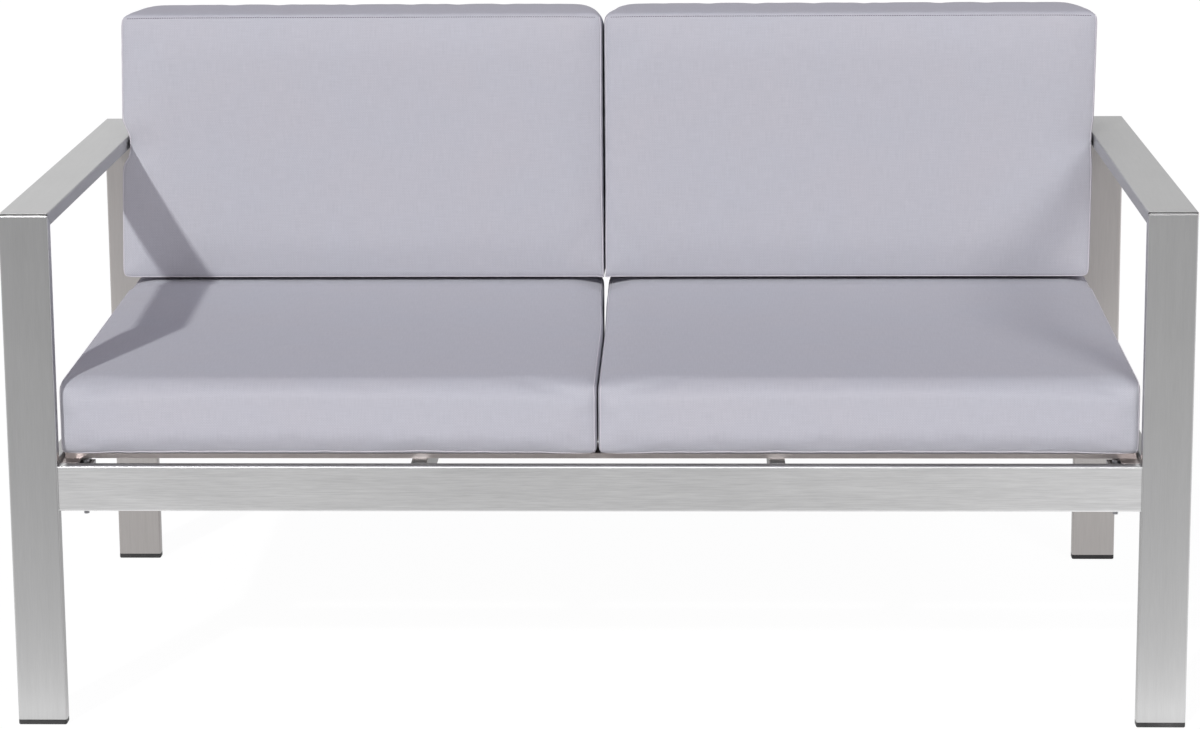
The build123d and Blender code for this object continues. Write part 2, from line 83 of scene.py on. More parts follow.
class Tree:
    """A thin helper that adds and joins the nodes of one tree."""

    def __init__(self, tree: NodeTree) -> None:
        """Keep the material's or group's tree that nodes are added to."""
        self.tree = tree

    def add(self, kind: str, settings: dict | None = None, **inputs: object) -> Node:
        """Add a node, set its properties, and fill or join its inputs.

        Args:
            kind: the node's type name.
            settings: properties of the node itself.
            inputs: socket values by name, with spaces as underscores; a socket is joined.

        Returns:
            The new node.
        """
        node = self.tree.nodes.new(kind)
        for name, value in (settings or {}).items():
            setattr(node, name, value)
        for name, value in inputs.items():
            self.fill(node.inputs[name.replace("_", " ")], value)
        return node

    def fill(self, socket: NodeSocket, value: object) -> None:
        """Give a socket a value, or join it to another socket.

        Args:
            socket: the input to fill.
            value: a number, a tuple or an output socket.
        """
        if isinstance(value, NodeSocket):
            self.tree.links.new(value, socket)
        else:
            socket.default_value = value

    def maths(self, operation: str, *values: object) -> NodeSocket:
        """Add a Math node and return its output.

        Args:
            operation: the Math node's operation.
            values: its inputs in order.

        Returns:
            The result's socket.
        """
        node = self.add("ShaderNodeMath", {"operation": operation})
        for socket, value in zip(node.inputs, values):
            self.fill(socket, value)
        return node.outputs[0]

    def blend(self, share: object, first: object, second: object, data_type: str = "RGBA") -> NodeSocket:
        """Mix two colours or two numbers and return the result's socket.

        Args:
            share: how much of the second one there is.
            first: the result at a share of 0.
            second: the result at a share of 1.
            data_type: the Mix node's data type, RGBA or FLOAT.

        Returns:
            The mixed value's socket.
        """
        socket_type = "VALUE" if data_type == "FLOAT" else data_type
        node = self.add("ShaderNodeMix", {"data_type": data_type})
        ends = [s for s in node.inputs if s.type == socket_type][-2:]
        self.fill(node.inputs[0], share)
        self.fill(ends[0], first)
        self.fill(ends[1], second)
        return next(s for s in node.outputs if s.type == socket_type)

    def remap(self, value: object, source: Range = (0.0, 1.0), target: Range = (0.0, 1.0)) -> NodeSocket:
        """Stretch one range of values to another and return the result's socket.

        Args:
            value: the number to stretch.
            source: the range it comes from.
            target: the range it is brought to.

        Returns:
            The stretched value's socket.
        """
        node = self.add("ShaderNodeMapRange", Value=value, From_Min=source[0], From_Max=source[1])
        self.fill(node.inputs["To Min"], target[0])
        self.fill(node.inputs["To Max"], target[1])
        return node.outputs[0]

    def noise(self, place: object, scale: object, detail: float) -> Node:
        """Add a noise texture at a place."""
        return self.add("ShaderNodeTexNoise", Vector=place, Scale=scale, Detail=detail)

    def group(self, shared: NodeTree, **inputs: object) -> Node:
        """Add a node that runs a shared group."""
        return self.add("ShaderNodeGroup", {"node_tree": shared}, **inputs)

    def object_place(self) -> NodeSocket:
        """Return a socket with the Object coordinates."""
        return self.add("ShaderNodeTexCoord").outputs["Object"]

    def bump(self, shader: Node, height: object, strength: float, depth: float) -> None:
        """Let a height raise and lower the surface of a shader."""
        raised = self.add("ShaderNodeBump", Height=height, Strength=strength, Distance=depth)
        self.fill(shader.inputs["Normal"], raised.outputs[0])


def cleared_tree(owner: Material | World) -> Tree:
    """Switch on the nodes of a material or the world, and clear them.

    Args:
        owner: the material or world.

    Returns:
        The helper of its tree.
    """
    owner.use_nodes = True
    owner.node_tree.nodes.clear()
    return Tree(owner.node_tree)


def toned(colour: Colour, factor: float = 1.0, lift: float = 0.0) -> tuple[float, ...]:
    """Return a colour made lighter or darker, with its alpha."""
    return tuple(min(1.0, c * factor + lift) for c in colour) + (1.0,)


def shader_group(name: str, inputs: dict[str, str], outputs: dict[str, str]) -> tuple[Tree, dict, dict]:
    """Make an empty shader node group with named sockets.

    Args:
        name: the group's name.
        inputs: socket kinds by input name.
        outputs: socket kinds by output name.

    Returns:
        The group's tree helper, its input sockets and its output sockets by name.
    """
    group = bpy.data.node_groups.new(name, "ShaderNodeTree")
    for label, kind in inputs.items():
        group.interface.new_socket(label, in_out="INPUT", socket_type=kind)
    for label, kind in outputs.items():
        group.interface.new_socket(label, in_out="OUTPUT", socket_type=kind)
    tree = Tree(group)
    entry = tree.add("NodeGroupInput")
    leave = tree.add("NodeGroupOutput")
    return tree, {s.name: s for s in entry.outputs}, {s.name: s for s in leave.inputs}


# Finishes


@dataclass
class SharedEffects:
    """The node groups that several finishes use."""

    fine_share: float = 0.7
    wide_scale: float = 0.17
    streak_detail: float = 3.0
    streak_roughness: float = 0.65
    soft_detail: float = 2.0
    tone_range: Range = (0.3, 0.7)
    slub_scale: Range = (900.0, 45.0)
    slub_range: Range = (0.7, 1.3)
    cloud_detail: float = 4.0
    cloud_range: Range = (0.35, 0.7)
    brushed: NodeTree = field(init=False)
    weave: NodeTree = field(init=False)
    handling: NodeTree = field(init=False)

    def __post_init__(self) -> None:
        """Build the three groups once."""
        self.brushed = self.brushed_grain()
        self.weave = self.plain_weave()
        self.handling = self.handling_marks()

    def brushed_grain(self) -> NodeTree:
        """Short streaks of a brush, in two sizes.

        Returns:
            A group that turns a stretched vector into a streak height and a tone.
        """
        tree, given, result = shader_group(
            "brushed_grain",
            {"Vector": "NodeSocketVector", "Streak Scale": "NodeSocketFloat"},
            {"Height": "NodeSocketFloat", "Tone": "NodeSocketFloat"},
        )
        fine = tree.noise(given["Vector"], given["Streak Scale"], self.streak_detail)
        tree.fill(fine.inputs["Roughness"], self.streak_roughness)
        wide_scale = tree.maths("MULTIPLY", given["Streak Scale"], self.wide_scale)
        wide = tree.noise(given["Vector"], wide_scale, self.soft_detail)
        fine_part = tree.maths("MULTIPLY", fine.outputs[0], self.fine_share)
        wide_part = tree.maths("MULTIPLY", wide.outputs[0], 1.0 - self.fine_share)
        height = tree.maths("ADD", fine_part, wide_part)
        tree.fill(result["Height"], height)
        tree.fill(result["Tone"], tree.remap(height, self.tone_range))
        return tree.tree

    def plain_weave(self) -> NodeTree:
        """Threads that pass over and under each other.

        Returns:
            A group that turns a flat cloth vector into a thread height and a slub mask.
        """
        tree, given, result = shader_group(
            "plain_weave",
            {"Vector": "NodeSocketVector", "Threads per Metre": "NodeSocketFloat"},
            {"Height": "NodeSocketFloat", "Slub": "NodeSocketFloat"},
        )
        apart = tree.add("ShaderNodeSeparateXYZ", Vector=given["Vector"])
        turns = tree.maths("MULTIPLY", given["Threads per Metre"], math.pi)
        across = tree.maths("SINE", tree.maths("MULTIPLY", apart.outputs[0], turns))
        along = tree.maths("SINE", tree.maths("MULTIPLY", apart.outputs[1], turns))
        over = tree.maths("MULTIPLY", across, along)
        tree.fill(result["Height"], tree.maths("MULTIPLY_ADD", over, 0.5, 0.5))
        threads = []
        for scale in (self.slub_scale, self.slub_scale[::-1]):
            drawn = tree.add("ShaderNodeMapping", Vector=given["Vector"], Scale=(*scale, 1.0))
            threads.append(tree.noise(drawn.outputs[0], 1.0, self.soft_detail).outputs[0])
        tree.fill(result["Slub"], tree.remap(tree.maths("ADD", *threads), self.slub_range))
        return tree.tree

    def handling_marks(self) -> NodeTree:
        """Broad faint clouds, as dust and hands leave on any surface.

        Returns:
            A group that turns a vector into a mask.
        """
        tree, given, result = shader_group(
            "handling_marks",
            {"Vector": "NodeSocketVector", "Cloud Scale": "NodeSocketFloat"},
            {"Mask": "NodeSocketFloat"},
        )
        cloud = tree.noise(given["Vector"], given["Cloud Scale"], self.cloud_detail)
        tree.fill(result["Mask"], tree.remap(cloud.outputs[0], self.cloud_range))
        return tree.tree


def new_material(name: str) -> tuple[Material, Tree, Node]:
    """Make a material with a cleared tree and its Principled shader.

    Args:
        name: the material's name.

    Returns:
        The material, its tree helper and the Principled node.
    """
    material = bpy.data.materials.new(name)
    tree = cleared_tree(material)
    shader = tree.add("ShaderNodeBsdfPrincipled")
    tree.add("ShaderNodeOutputMaterial", Surface=shader.outputs[0])
    return material, tree, shader


@dataclass(frozen=True)
class BrushedMetal:
    """Anodised aluminium with a brushed grain."""

    name: str
    colour: Colour
    grain: Grain
    roughness: float
    streak: float
    bump: float
    streak_scale: float = 900.0
    streak_stretch: float = 0.035
    cloud_scale: float = 6.0
    cloud_dullness: float = 0.05
    grain_depth: float = 0.2 * MM

    def material(self, effects: SharedEffects) -> Material:
        """Build the metal's material.

        Args:
            effects: the shared node groups.

        Returns:
            The material.
        """
        material, tree, shader = new_material(self.name)
        place = tree.object_place()
        scale = tuple(self.streak_stretch if axis == 0.0 else 1.0 for axis in self.grain.value)
        stretched = tree.add("ShaderNodeMapping", Vector=place, Scale=scale).outputs[0]
        grain = tree.group(effects.brushed, Vector=stretched, Streak_Scale=self.streak_scale)
        marks = tree.group(effects.handling, Vector=place, Cloud_Scale=self.cloud_scale)
        dark = toned(self.colour, 1.0 - self.streak)
        light = toned(self.colour, 1.0 + self.streak)
        tree.fill(shader.inputs["Base Color"], tree.blend(grain.outputs["Tone"], dark, light))
        rough = tree.maths("MULTIPLY_ADD", marks.outputs["Mask"], self.cloud_dullness, self.roughness)
        tree.fill(shader.inputs["Roughness"], rough)
        shader.inputs["Metallic"].default_value = 1.0
        tree.bump(shader, grain.outputs["Height"], self.bump, self.grain_depth)
        return material


@dataclass(frozen=True)
class MouldedPlastic:
    """Plastic with the fine grain of its mould."""

    name: str
    colour: Colour
    roughness: float
    bump: float
    cloud_scale: float = 30.0
    grain_scale: float = 2500.0
    grain_detail: float = 2.0
    grain_depth: float = 0.2 * MM
    dust_share: float = 0.85
    dust_lift: float = 0.04

    def material(self, effects: SharedEffects) -> Material:
        """Build the plastic's material.

        Args:
            effects: the shared node groups.

        Returns:
            The material.
        """
        material, tree, shader = new_material(self.name)
        place = tree.object_place()
        marks = tree.group(effects.handling, Vector=place, Cloud_Scale=self.cloud_scale)
        grain = tree.noise(place, self.grain_scale, self.grain_detail)
        dusty = toned(self.colour, self.dust_share, self.dust_lift)
        tone = tree.blend(marks.outputs["Mask"], toned(self.colour), dusty)
        tree.fill(shader.inputs["Base Color"], tone)
        shader.inputs["Roughness"].default_value = self.roughness
        tree.bump(shader, grain.outputs[0], self.bump, self.grain_depth)
        return material


@dataclass(frozen=True)
class WovenCloth:
    """Plain woven outdoor cloth."""

    name: str
    colour: Colour
    warm: Colour
    threads_per_metre: float
    bump: float
    sheen: float
    # Height up to which the cloth is painted near black: painted shade under the cushion.
    painted_shade_top: float
    cloud_scale: float = 9.0
    valley_shade_and_slub_tone: float = 0.82
    valley_shade_share: float = 0.55
    slub_share: float = 0.45
    thread_share: float = 0.6
    thread_depth: float = 0.4 * MM
    painted_shade_fade: float = 2.0 * MM
    painted_shade_share: float = 0.9
    painted_shade_colour: Colour = (0.03, 0.025, 0.03)
    roughness: float = 0.85
    sheen_roughness: float = 0.5
    specular: float = 0.25

    def material(self, effects: SharedEffects) -> Material:
        """Build the cloth's material on the piece's own UV map, which is in metres, with painted shade
        in the thread valleys and along the cushion's underside.

        Args:
            effects: the shared node groups.

        Returns:
            The material.
        """
        material, tree, shader = new_material(self.name)
        flat = tree.add("ShaderNodeUVMap", {"uv_map": "cloth"}).outputs[0]
        weave = tree.group(effects.weave, Vector=flat, Threads_per_Metre=self.threads_per_metre)
        marks = tree.group(effects.handling, Vector=flat, Cloud_Scale=self.cloud_scale)
        tinted = tree.blend(marks.outputs["Mask"], toned(self.colour), toned(self.warm))
        slub = tree.maths("MULTIPLY", weave.outputs["Slub"], self.slub_share)
        # Painted shade: the valleys between threads are darkened; the slubs add a random darker thread
        # tone to the same mix.
        valleys = tree.maths("MULTIPLY_ADD", weave.outputs["Height"], -1.0, 1.0)
        shade = tree.maths("MULTIPLY_ADD", valleys, self.valley_shade_share, slub)
        woven = tree.blend(shade, tinted, toned(self.colour, self.valley_shade_and_slub_tone))
        # Painted shade: below a height near the cushion's bottom the cloth turns near black, fading out
        # over a few millimetres, for the shade under the cushion.
        above = tree.add("ShaderNodeSeparateXYZ", Vector=tree.object_place()).outputs[2]
        fade = (self.painted_shade_top, self.painted_shade_top + self.painted_shade_fade)
        under = tree.remap(above, fade, (self.painted_shade_share, 0.0))
        tree.fill(shader.inputs["Base Color"], tree.blend(under, woven, toned(self.painted_shade_colour)))
        shader.inputs["Roughness"].default_value = self.roughness
        shader.inputs["Sheen Weight"].default_value = self.sheen
        shader.inputs["Sheen Roughness"].default_value = self.sheen_roughness
        shader.inputs["Specular IOR Level"].default_value = self.specular
        height = tree.maths("MULTIPLY_ADD", weave.outputs["Height"], self.thread_share, slub)
        tree.bump(shader, height, self.bump, self.thread_depth)
        return material


# The frame


@dataclass
class Frame:
    """The welded and bolted frame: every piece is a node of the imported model."""

    effects: SharedEffects
    # Painted sheen: one aluminium in two copies; the crosswise brushed pieces get a much paler base
    # colour than the upright ones, standing in for the brighter reflection that crosswise grain catches.
    upright: BrushedMetal = BrushedMetal(
        "upright_brushed", (0.56, 0.56, 0.56), Grain.UPRIGHT, 0.32, 0.05, 0.12
    )
    crosswise: BrushedMetal = BrushedMetal(
        "crosswise_brushed_painted_sheen", (0.84, 0.84, 0.84), Grain.CROSSWISE, 0.32, 0.12, 0.25
    )
    # Painted reflection: the rear legs' base colour is tinted warm, standing in for the warm reflection
    # they show.
    rear: BrushedMetal = BrushedMetal(
        "rear_brushed_painted_reflection", (0.58, 0.553, 0.54), Grain.UPRIGHT, 0.34, 0.05, 0.12
    )
    lengthwise: BrushedMetal = BrushedMetal(
        "lengthwise_satin", (0.5, 0.5, 0.5), Grain.LENGTHWISE, 0.42, 0.04, 0.1
    )
    # Painted shade: the slats get a darker, warmer base colour than the other crosswise pieces, for the
    # shade under the cushions.
    slat: BrushedMetal = BrushedMetal(
        "slat_satin_painted_shade", (0.66, 0.6, 0.585), Grain.CROSSWISE, 0.4, 0.06, 0.12
    )
    steel: BrushedMetal = BrushedMetal(
        "fastener_steel", (0.4, 0.4, 0.42), Grain.UPRIGHT, 0.35, 0.03, 0.05
    )
    black: MouldedPlastic = MouldedPlastic("black_plastic", (0.02, 0.02, 0.02), 0.5, 0.1)
    grey: MouldedPlastic = MouldedPlastic("grey_plastic", (0.3, 0.3, 0.31), 0.45, 0.1)

    def finish_of(self, node: str) -> BrushedMetal | MouldedPlastic:
        """Choose the finish of a frame node by its name.

        Args:
            node: the node's name.

        Returns:
            The finish.
        """
        if node.endswith("foot_cap") or node == "corner_blocks":
            return self.black
        if node.endswith("rail_cap") or node == "access_hole_caps":
            return self.grey
        if node.endswith(("screws", "bolts", "washers", "nuts", "nut_plates", "brackets")):
            return self.steel
        if node.startswith("seat_slat") or node.endswith("_slat_ledge"):
            return self.slat
        if node.endswith("_rear_leg"):
            return self.rear
        if node.endswith(("_leg", "_upright")) or node.startswith("back_slat"):
            return self.upright
        if node.endswith(("_armrest", "_side_rail", "_cross_bar")):
            return self.lengthwise
        return self.crosswise

    def dress(self) -> None:
        """Give each shown frame node its material."""
        made: dict[str, Material] = {}
        for name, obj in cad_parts.items():
            if name.endswith(("_cover", "_foam")):
                continue
            finish = self.finish_of(name)
            if finish.name not in made:
                made[finish.name] = finish.material(self.effects)
            for slot in obj.material_slots:
                slot.material = made[finish.name]
            log.info("dressed %s in %s", name, finish.name)


# Laying seams and stitches along paths


def place_in_scene(name: str, data: ID) -> Object:
    """Make an object of its data and link it to the scene.

    Args:
        name: the object's name.
        data: its mesh, lamp or camera.

    Returns:
        The object.
    """
    obj = bpy.data.objects.new(name, data)
    bpy.context.scene.collection.objects.link(obj)
    return obj


def evaluated(obj: Object) -> Object:
    """Return the object as its modifiers leave it."""
    return obj.evaluated_get(bpy.context.evaluated_depsgraph_get())


def path_tree(name: str, sizes: dict[str, float]) -> tuple[Tree, dict, NodeSocket]:
    """Start a geometry tree that turns an edge path into a curve and takes named sizes.

    Args:
        name: the tree's name.
        sizes: default values by input name.

    Returns:
        The tree's helper, its input sockets by name, and the curve's socket.
    """
    group = bpy.data.node_groups.new(name, "GeometryNodeTree")
    group.interface.new_socket("Geometry", in_out="INPUT", socket_type="NodeSocketGeometry")
    for label, value in sizes.items():
        socket = group.interface.new_socket(label, in_out="INPUT", socket_type="NodeSocketFloat")
        socket.default_value = value
    group.interface.new_socket("Material", in_out="INPUT", socket_type="NodeSocketMaterial")
    group.interface.new_socket("Geometry", in_out="OUTPUT", socket_type="NodeSocketGeometry")
    tree = Tree(group)
    given = {s.name: s for s in tree.add("NodeGroupInput").outputs}
    curve = tree.add("GeometryNodeMeshToCurve", Mesh=given["Geometry"]).outputs[0]
    return tree, given, curve


def close_tree(tree: Tree, given: dict, shape: NodeSocket) -> None:
    """End a geometry tree in realised geometry with its material.

    Args:
        tree: the tree's helper.
        given: its input sockets by name.
        shape: the finished geometry.
    """
    real = tree.add("GeometryNodeRealizeInstances", Geometry=shape).outputs[0]
    dressed = tree.add("GeometryNodeSetMaterial", Geometry=real, Material=given["Material"]).outputs[0]
    tree.add("NodeGroupOutput", Geometry=dressed)


def piping_tree() -> NodeTree:
    """Build the tree that lays a thin rolled edge along a seam.

    Returns:
        The geometry tree.
    """
    tree, given, curve = path_tree("seam_roll", {"Radius": 1.0 * MM, "Step": 4.0 * MM})
    even = tree.add("GeometryNodeResampleCurve", {"mode": "LENGTH"}, Curve=curve, Length=given["Step"])
    ring = tree.add(
        "GeometryNodeCurvePrimitiveCircle",
        {"mode": "RADIUS"},
        Resolution=ROUND_SIDES,
        Radius=given["Radius"],
    )
    tube = tree.add("GeometryNodeCurveToMesh", Curve=even.outputs[0], Profile_Curve=ring.outputs[0])
    smooth = tree.add("GeometryNodeSetShadeSmooth", Geometry=tube.outputs[0])
    close_tree(tree, given, smooth.outputs[0])
    return tree.tree


def stitch_tree() -> NodeTree:
    """Build the tree that lays single stitches along a path.

    Returns:
        The geometry tree.
    """
    tree, given, curve = path_tree(
        "stitches", {"Pitch": 2.9 * MM, "Stitch Length": 1.9 * MM, "Thread Radius": 0.4 * MM}
    )
    even = tree.add("GeometryNodeResampleCurve", {"mode": "LENGTH"}, Curve=curve, Length=given["Pitch"])
    points = tree.add("GeometryNodeCurveToPoints", {"mode": "EVALUATED"}, Curve=even.outputs[0])
    stitch = tree.add(
        "GeometryNodeMeshCylinder",
        Vertices=ROUND_SIDES,
        Radius=given["Thread Radius"],
        Depth=given["Stitch Length"],
    )
    laid = tree.add(
        "GeometryNodeInstanceOnPoints",
        Points=points.outputs["Points"],
        Instance=stitch.outputs["Mesh"],
        Rotation=points.outputs["Rotation"],
    )
    close_tree(tree, given, laid.outputs[0])
    return tree.tree


def along_path(
    name: str,
    points: list[Vector],
    closed: bool,
    tree: NodeTree,
    material: Material,
    sizes: dict[str, float],
) -> Object:
    """Run a geometry tree along a path and keep the result as a plain mesh.

    Args:
        name: the new piece's name.
        points: the path.
        closed: whether the path returns to its start.
        tree: the geometry tree.
        material: the new piece's material.
        sizes: input values by name.

    Returns:
        The new piece.
    """
    edges = [(i, i + 1) for i in range(len(points) - 1)]
    if closed:
        edges.append((len(points) - 1, 0))
    path = bpy.data.meshes.new(name + "_path")
    path.from_pydata(points, edges, [])
    guide = place_in_scene(name + "_path", path)
    modifier = guide.modifiers.new("run", "NODES")
    modifier.node_group = tree
    for item in tree.interface.items_tree:
        if item.item_type == "SOCKET" and item.in_out == "INPUT":
            if item.name == "Material":
                modifier[item.identifier] = material
            elif item.name in sizes:
                modifier[item.identifier] = sizes[item.name]
    bpy.context.view_layer.update()
    mesh = bpy.data.meshes.new_from_object(evaluated(guide))
    bpy.data.objects.remove(guide)
    mesh.name = name
    if not mesh.materials:
        mesh.materials.append(material)
    return place_in_scene(name, mesh)


# Cushions


def ease(share: float) -> float:
    """Turn any number into a smooth step from 0 to 1."""
    held = min(1.0, max(0.0, share))
    return held * held * (3.0 - 2.0 * held)


@dataclass(frozen=True)
class Ramp:
    """A smooth step from 0 to 1 over a share, with its steepness and what is taken off first."""

    steepness: float
    offset: float

    def at(self, share: float) -> float:
        """Return the step's height at a share."""
        return ease(self.steepness * share - self.offset)


@dataclass(frozen=True)
class Sewing:
    """What the cushions are sewn with, and the trees that lay their seams and stitches."""

    cloth: Material
    # The rolled seams' material: paler than the cloth, a painted highlight along the seams.
    seam_highlight: Material
    thread: Material
    piping: NodeTree
    stitches: NodeTree


@dataclass(frozen=True)
class Filling:
    """How the cloth simulation blows a cover up, and how far a point may move."""

    quality: int = 6
    steps: int = 20
    mass: float = 0.3
    stretch_stiffness: float = 15.0
    bending_stiffness: float = 0.5
    pressure: float = 4.0
    slack: float = 0.004
    farthest: float = 5.0 * MM


@dataclass(frozen=True)
class Swell:
    """How far a cushion stands proud of its seams, in metres, on each of its sides."""

    left: float
    right: float
    low: float
    high: float
    near: float
    far: float


@dataclass
class Cushion:
    """A sewn cover over foam: a sleeve between two end panels, with a seam round each panel.

    The sleeve of a back cushion is its boxing, and its end panels are its face and its back.
    The sleeve of a seat cushion runs over the top and down the front, and its end panels are
    its two sides. Local u and v lie in the end panels, and w runs from one panel to the other.
    """

    name: str
    sewing: Sewing
    swell: Swell
    near_corners: Corners
    far_corners: Corners
    filling: Filling = Filling()
    cell: float = 9.0 * MM
    fewest_cells: int = 8
    draw_in: float = 2.0 * MM
    draw_in_share: float = 0.5
    corner_fade: int = 5
    drop_fade: int = 4
    sleeve_share: float = 0.85
    sleeve_roundness: float = 0.4
    piping_radius: float = 0.7 * MM
    corner_drop: float = 0.0
    near_drop: float = 0.0
    fullness: float = 0.2
    softness: float = 2.0 * MM
    rest_depth: float = 2.0 * MM
    near_seam: list[int] = field(init=False)
    far_seam: list[int] = field(init=False)
    far_panel: list[list[int]] = field(init=False)
    hoops: list[list[int]] = field(init=False)

    def __post_init__(self) -> None:
        """Read the cushion's place from its cover in the frame."""
        low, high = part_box(self.name + "_cover")
        self.low_corner, self.high_corner = Vector(low), Vector(high)
        self.span = self.high_corner - self.low_corner
        self.place_axes()

    def place_axes(self) -> None:
        """Turn the local axes to a cushion that lies on the seat."""
        self.size_u, self.size_v, self.size_w = self.span.y, self.span.z, self.span.x
        middle = (self.low_corner + self.high_corner) / 2
        axes = Matrix(((0, 0, 1), (1, 0, 0), (0, 1, 0)))
        origin = Vector((self.low_corner.x, middle.y, middle.z))
        self.place = Matrix.Translation(origin) @ axes.to_4x4()

    def outline(self, a: float, b: float, swollen: float, share: float) -> tuple[float, float]:
        """Place a point of a panel inside its rounded outline with drawn-in sides.

        Args:
            a: place along u, from -1 to 1.
            b: place along v, from -1 to 1.
            swollen: from 0 at a seam to 1 where the sleeve stands out most.
            share: from 0 at the near panel to 1 at the far one.

        Returns:
            The point's two coordinates in the panel.
        """
        held = 1.0 - swollen
        low_u = -self.size_u / 2 + self.swell.left * held
        high_u = self.size_u / 2 - self.swell.right * held
        low_v = -self.size_v / 2 + self.swell.low * held
        high_v = self.size_v / 2 - self.swell.high * held - self.near_drop * (1.0 - share) ** 2
        middle_u, middle_v = (low_u + high_u) / 2, (low_v + high_v) / 2
        half_u, half_v = (high_u - low_u) / 2, (high_v - low_v) / 2
        corner = (0 if a < 0 else 1) if b < 0 else (3 if a < 0 else 2)
        radius = self.near_corners[corner] * (1.0 - share) + self.far_corners[corner] * share
        u, v = a * half_u, b * half_v
        edge = max(abs(a), abs(b))
        if edge > 0:
            over_u = abs(u) / edge - (half_u - radius)
            over_v = abs(v) / edge - (half_v - radius)
            if over_u > 0 and over_v > 0:
                pull = math.hypot(over_u, over_v)
                if pull > 0:
                    trimmed = (1.0 - radius / pull) * edge**self.corner_fade
                    u -= math.copysign(over_u, a) * trimmed
                    v -= math.copysign(over_v, b) * trimmed
        u -= a * self.draw_in * (1.0 - b * b)
        v -= b * self.draw_in * (1.0 - a * a) * self.draw_in_share
        if b > 0:
            v -= self.corner_drop * b * a**self.drop_fade
        return middle_u + u, middle_v + v

    def sewn_mesh(self) -> Mesh:
        """Build the end panels and the sleeve as one closed mesh with a UV map in metres.

        Returns:
            The mesh. The vertices of the seams, the hoops and the far panel are kept by number.
        """
        sizes = (self.size_u, self.size_v, self.size_w)
        columns, rows, rings = (max(self.fewest_cells, round(size / self.cell)) for size in sizes)
        rim = [(i, 0) for i in range(columns)] + [(columns, j) for j in range(rows)]
        rim += [(columns - i, rows) for i in range(columns)] + [(0, rows - j) for j in range(rows)]
        points: list[Vector] = []
        faces: list[tuple[int, ...]] = []
        flat: list[tuple[tuple[float, float], ...]] = []
        near_w, far_w = self.swell.near, self.size_w - self.swell.far

        def panel(seam_w: float, rise: float, share: float) -> list[list[int]]:
            """Add an end panel's points and return their numbers, row by row.

            Args:
                seam_w: where its seam lies along w.
                rise: how far its middle stands out.
                share: 0 for the near panel and 1 for the far one.

            Returns:
                The numbers of its vertices.
            """
            grid = []
            for j in range(rows + 1):
                line = []
                for i in range(columns + 1):
                    a, b = 2 * i / columns - 1, 2 * j / rows - 1
                    u, v = self.outline(a, b, 0.0, share)
                    from_rim = min(i, columns - i, j, rows - j)
                    bulge = 1.0 - math.exp(-from_rim * self.fullness)
                    line.append(len(points))
                    points.append(Vector((u, v, seam_w + rise * bulge)))
                grid.append(line)
            return grid

        near, far = panel(near_w, -self.swell.near, 0.0), panel(far_w, self.swell.far, 1.0)
        for grid, order in ((far, (0, 1, 2, 3)), (near, (0, 3, 2, 1))):
            for j in range(rows):
                for i in range(columns):
                    ring = (grid[j][i], grid[j][i + 1], grid[j + 1][i + 1], grid[j + 1][i])
                    faces.append(tuple(ring[k] for k in order))
                    flat.append(tuple(tuple(points[ring[k]].xy) for k in order))
        self.near_seam = [near[j][i] for i, j in rim]
        self.far_seam = [far[j][i] for i, j in rim]
        self.far_panel = far
        travel = [0.0]
        for k in range(len(rim)):
            here, there = points[self.near_seam[k]], points[self.near_seam[(k + 1) % len(rim)]]
            travel.append(travel[-1] + (there - here).length)
        previous, previous_w = self.near_seam, near_w
        self.hoops = [self.near_seam]
        for ring_number in range(1, rings + 1):
            share = ring_number / rings
            w = near_w + (far_w - near_w) * share
            if ring_number == rings:
                current = self.far_seam
            else:
                current = []
                swollen = math.sin(math.pi * share) ** self.sleeve_roundness * self.sleeve_share
                for i, j in rim:
                    u, v = self.outline(2 * i / columns - 1, 2 * j / rows - 1, swollen, share)
                    current.append(len(points))
                    points.append(Vector((u, v, w)))
            for k in range(len(rim)):
                after = (k + 1) % len(rim)
                faces.append((previous[k], previous[after], current[after], current[k]))
                start, end = travel[k], travel[k + 1]
                flat.append(((previous_w, start), (previous_w, end), (w, end), (w, start)))
            self.hoops.append(current)
            previous, previous_w = current, w
        mesh = bpy.data.meshes.new(self.name)
        mesh.from_pydata([self.place @ p for p in points], [], faces)
        layer = mesh.uv_layers.new(name="cloth")
        for polygon, corner_places in zip(mesh.polygons, flat):
            for corner, place in zip(polygon.loop_indices, corner_places):
                layer.data[corner].uv = place
        mesh.update()
        return mesh

    def blow_up(self, obj: Object) -> None:
        """Fill the cover by cloth simulation, with its seams held, and keep the result.

        Args:
            obj: the cover.
        """
        held = obj.vertex_groups.new(name="seams")
        resting = [v.index for v in obj.data.vertices if v.co.z < self.low_corner.z + self.rest_depth]
        held.add(self.near_seam + self.far_seam + resting, 1.0, "REPLACE")
        cloth = obj.modifiers.new("cloth", "CLOTH")
        cloth.settings.quality = self.filling.quality
        cloth.settings.mass = self.filling.mass
        cloth.settings.tension_stiffness = self.filling.stretch_stiffness
        cloth.settings.compression_stiffness = self.filling.stretch_stiffness
        cloth.settings.bending_stiffness = self.filling.bending_stiffness
        cloth.settings.use_pressure = True
        cloth.settings.uniform_pressure_force = self.filling.pressure
        cloth.settings.vertex_group_mass = "seams"
        cloth.settings.shrink_min = -self.filling.slack
        cloth.settings.effector_weights.gravity = 0.0
        cloth.collision_settings.use_collision = False
        cloth.point_cache.frame_start = 1
        cloth.point_cache.frame_end = self.filling.steps
        scene = bpy.context.scene
        for step in range(1, self.filling.steps + 1):
            scene.frame_set(step)
        moved = [v.co.copy() for v in evaluated(obj).to_mesh().vertices]
        obj.modifiers.remove(cloth)
        scene.frame_set(1)
        for vertex, after in zip(obj.data.vertices, moved):
            step_made = after - vertex.co
            if step_made.length > self.filling.farthest:
                step_made *= self.filling.farthest / step_made.length
            vertex.co += step_made

